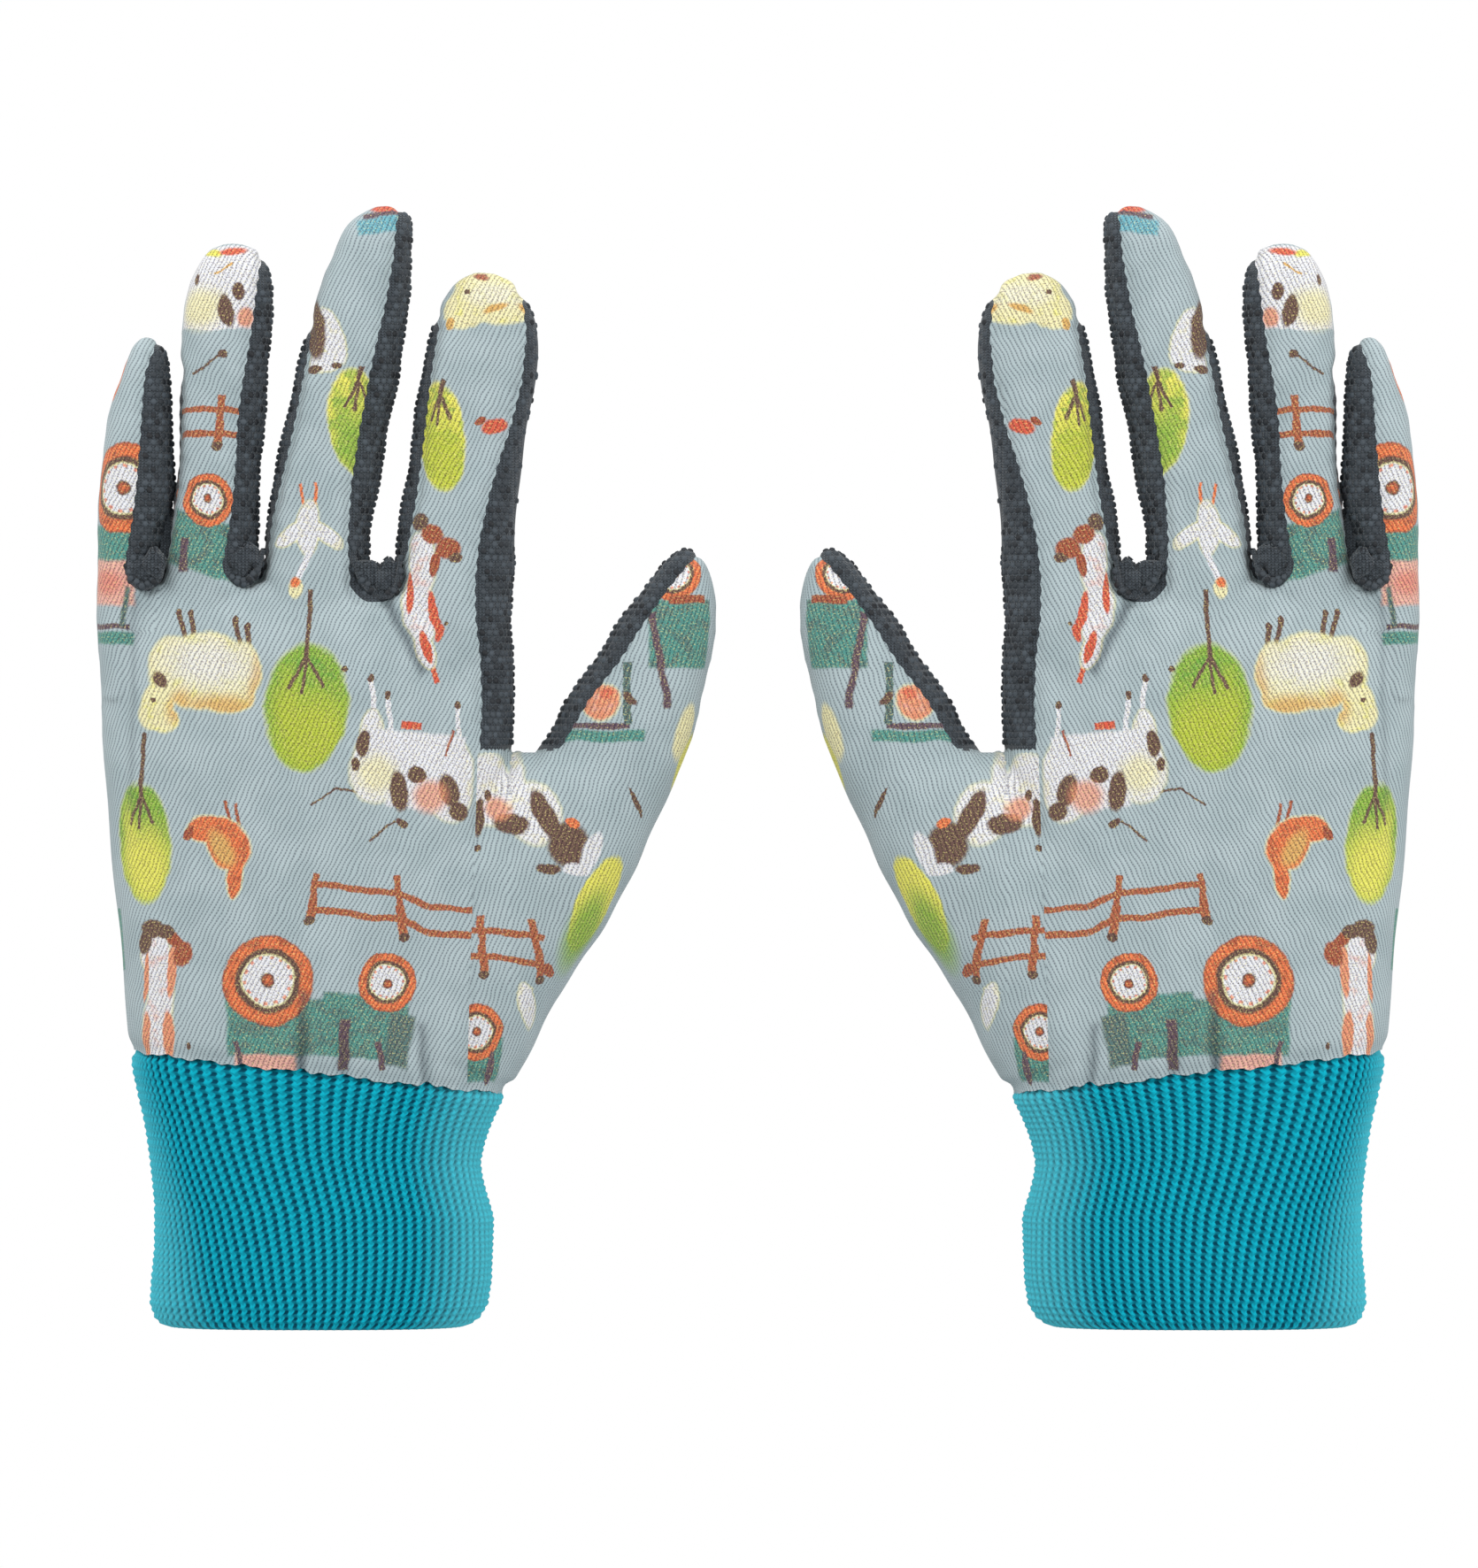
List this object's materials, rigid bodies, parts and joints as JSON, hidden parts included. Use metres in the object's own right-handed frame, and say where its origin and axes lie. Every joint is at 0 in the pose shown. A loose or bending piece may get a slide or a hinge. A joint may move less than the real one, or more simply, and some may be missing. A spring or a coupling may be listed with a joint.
{
  "type": "gardening gloves",
  "caption": "Pair of child's gardening gloves with a printed cloth back, a dotted-grip knit palm and a rib-knit cuff.",
  "frame": {"origin": "on the ground plane under the hems, midway between the two gloves", "axes": "+Z from the hems to the fingertips, +X from the left glove to the right glove, -Y out of the printed backs, +Y out of the palms"},
  "size_m": [0.2384, 0.0346, 0.2004],
  "materials": {
    "printed_twill": "printed cotton twill",
    "dotted_knit": "plain knit with raised grip dots",
    "rib_knit": "one-by-one rib knit",
    "seam_thread": "overlocked thread",
    "label_tape": "woven tape, blank"
  },
  "bodies": {
    "left_hand": {"left_back_panel": "printed_twill", "left_thumb_back_panel": "printed_twill", "left_palm_panel": "dotted_knit", "left_middle_fingers_front_panel": "dotted_knit", "left_thumb_front_panel": "dotted_knit", "left_knit_cuff": "rib_knit", "left_cuff_overlock_seam": "seam_thread", "left_care_label": "label_tape"},
    "left_index_end": {"left_index_tip_back": "printed_twill", "left_index_tip_front": "dotted_knit"},
    "left_middle_end": {"left_middle_tip_back": "printed_twill", "left_middle_tip_front": "dotted_knit"},
    "left_ring_end": {"left_ring_tip_back": "printed_twill", "left_ring_tip_front": "dotted_knit"},
    "left_little_end": {"left_little_tip_back": "printed_twill", "left_little_tip_front": "dotted_knit"},
    "left_thumb_end": {"left_thumb_tip_back": "printed_twill", "left_thumb_tip_front": "dotted_knit"},
    "right_hand": {"right_back_panel": "printed_twill", "right_thumb_back_panel": "printed_twill", "right_palm_panel": "dotted_knit", "right_middle_fingers_front_panel": "dotted_knit", "right_thumb_front_panel": "dotted_knit", "right_knit_cuff": "rib_knit", "right_cuff_overlock_seam": "seam_thread", "right_care_label": "label_tape"},
    "right_index_end": {"right_index_tip_back": "printed_twill", "right_index_tip_front": "dotted_knit"},
    "right_middle_end": {"right_middle_tip_back": "printed_twill", "right_middle_tip_front": "dotted_knit"},
    "right_ring_end": {"right_ring_tip_back": "printed_twill", "right_ring_tip_front": "dotted_knit"},
    "right_little_end": {"right_little_tip_back": "printed_twill", "right_little_tip_front": "dotted_knit"},
    "right_thumb_end": {"right_thumb_tip_back": "printed_twill", "right_thumb_tip_front": "dotted_knit"}
  },
  "joints": [
    {"name": "left_index_knuckle", "type": "hinge", "parent": "left_hand", "child": "left_index_end", "pos_m": [-0.05157, 0, 0.15475], "axis": [-0.9925, 0, 0.1219], "range_deg": [0, 90]},
    {"name": "left_middle_knuckle", "type": "hinge", "parent": "left_hand", "child": "left_middle_end", "pos_m": [-0.07487, 0, 0.16113], "axis": [-0.9781, 0, 0.2079], "range_deg": [0, 90]},
    {"name": "left_ring_knuckle", "type": "hinge", "parent": "left_hand", "child": "left_ring_end", "pos_m": [-0.09587, 0, 0.16092], "axis": [-0.9979, 0, 0.0645], "range_deg": [0, 90]},
    {"name": "left_little_knuckle", "type": "hinge", "parent": "left_hand", "child": "left_little_end", "pos_m": [-0.1107, 0, 0.15146], "axis": [-0.9987, 0, 0.0506], "range_deg": [0, 90]},
    {"name": "left_thumb_knuckle", "type": "hinge", "parent": "left_hand", "child": "left_thumb_end", "pos_m": [-0.02362, 0, 0.11321], "axis": [-0.9128, 0, 0.4083], "range_deg": [0, 70]},
    {"name": "right_index_knuckle", "type": "hinge", "parent": "right_hand", "child": "right_index_end", "pos_m": [0.05157, 0, 0.15475], "axis": [-0.9925, 0, -0.1219], "range_deg": [0, 90]},
    {"name": "right_middle_knuckle", "type": "hinge", "parent": "right_hand", "child": "right_middle_end", "pos_m": [0.07487, 0, 0.16113], "axis": [-0.9781, 0, -0.2079], "range_deg": [0, 90]},
    {"name": "right_ring_knuckle", "type": "hinge", "parent": "right_hand", "child": "right_ring_end", "pos_m": [0.09587, 0, 0.16092], "axis": [-0.9979, 0, -0.0645], "range_deg": [0, 90]},
    {"name": "right_little_knuckle", "type": "hinge", "parent": "right_hand", "child": "right_little_end", "pos_m": [0.1107, 0, 0.15146], "axis": [-0.9987, 0, -0.0506], "range_deg": [0, 90]},
    {"name": "right_thumb_knuckle", "type": "hinge", "parent": "right_hand", "child": "right_thumb_end", "pos_m": [0.02362, 0, 0.11321], "axis": [-0.9128, 0, -0.4083], "range_deg": [0, 70]},
    {"name": "glove_spacing", "type": "slide", "parent": "left_hand", "child": "right_hand", "axis": [1, 0, 0], "range_m": [-0.01, 0.08]}
  ]
}
